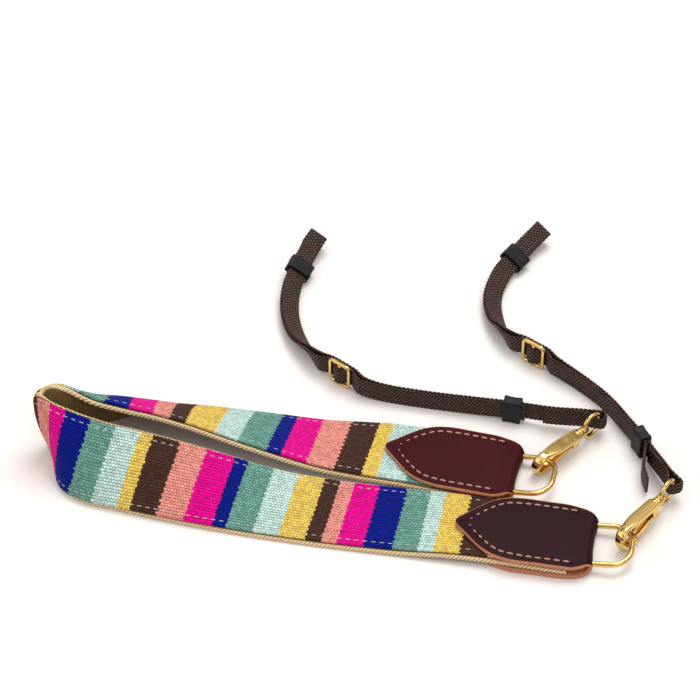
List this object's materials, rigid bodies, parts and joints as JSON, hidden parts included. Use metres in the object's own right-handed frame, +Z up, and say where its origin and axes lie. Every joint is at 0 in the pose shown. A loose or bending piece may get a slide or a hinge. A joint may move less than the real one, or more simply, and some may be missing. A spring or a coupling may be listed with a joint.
{
  "type": "coiled camera strap",
  "caption": "Striped woven neck strap laid down in a loose coil, with leather end tabs, brass rings and snap hooks, and narrow webbing tethers that end in lug loops.",
  "frame": {"origin": "middle of the footprint of the coiled strap, on the surface that it lies on", "axes": "+X along the band towards the snap hooks, +Y away from the front branch of the coil towards the lug loops, +Z up"},
  "size_m": [0.3076, 0.2483, 0.0377],
  "materials": {
    "striped_weave": "ribbed woven cotton in crosswise stripes",
    "cotton_webbing": "natural beige cotton webbing",
    "brown_leather": "semi-matt dark brown, raw edge",
    "oxblood_leather": "semi-matt oxblood, raw edge",
    "polished_brass": "polished, satin on flat bars",
    "brown_webbing": "narrow woven polyester, flecked",
    "black_nylon": "moulded, matt"
  },
  "bodies": {
    "root": {"band_face": "striped_weave", "band_backing": "cotton_webbing", "tab_front": "brown_leather", "tab_back": "oxblood_leather", "ring_front": "polished_brass", "hook_eye_front": "polished_brass", "tether_front": "brown_webbing", "keeper_front_low": "black_nylon", "keeper_front_high": "black_nylon", "slider_front": "polished_brass", "ring_back": "polished_brass", "hook_eye_back": "polished_brass", "tether_back": "brown_webbing", "keeper_back_low": "black_nylon", "keeper_back_high": "black_nylon", "slider_back": "polished_brass"},
    "hook_front": {"hook_body_front": "polished_brass"},
    "gate_lever_front": {"hook_gate_front": "polished_brass"},
    "hook_back": {"hook_body_back": "polished_brass"},
    "gate_lever_back": {"hook_gate_back": "polished_brass"}
  },
  "joints": [
    {"name": "swivel_front", "type": "hinge", "parent": "root", "child": "hook_front", "pos_m": [0.14089, -0.08268, 0.0089], "axis": [-0.6293, -0.7771, 0], "range_deg": [-15, 8]},
    {"name": "gate_front", "type": "hinge", "parent": "hook_front", "child": "gate_lever_front", "pos_m": [0.13748, -0.08789, 0.00597], "axis": [-0.7602, 0.6156, -0.2079], "range_deg": [0, 18], "stiffness_Nm_per_rad": 0.02, "springref_deg": -11.46},
    {"name": "swivel_back", "type": "hinge", "parent": "root", "child": "hook_back", "pos_m": [0.1083, -0.03667, 0.0088], "axis": [-0.7193, -0.6947, 0], "range_deg": [-10, 20]},
    {"name": "gate_back", "type": "hinge", "parent": "hook_back", "child": "gate_lever_back", "pos_m": [0.10355, -0.04068, 0.00583], "axis": [-0.6879, 0.7123, 0.1392], "range_deg": [0, 18], "stiffness_Nm_per_rad": 0.02, "springref_deg": -11.46}
  ]
}
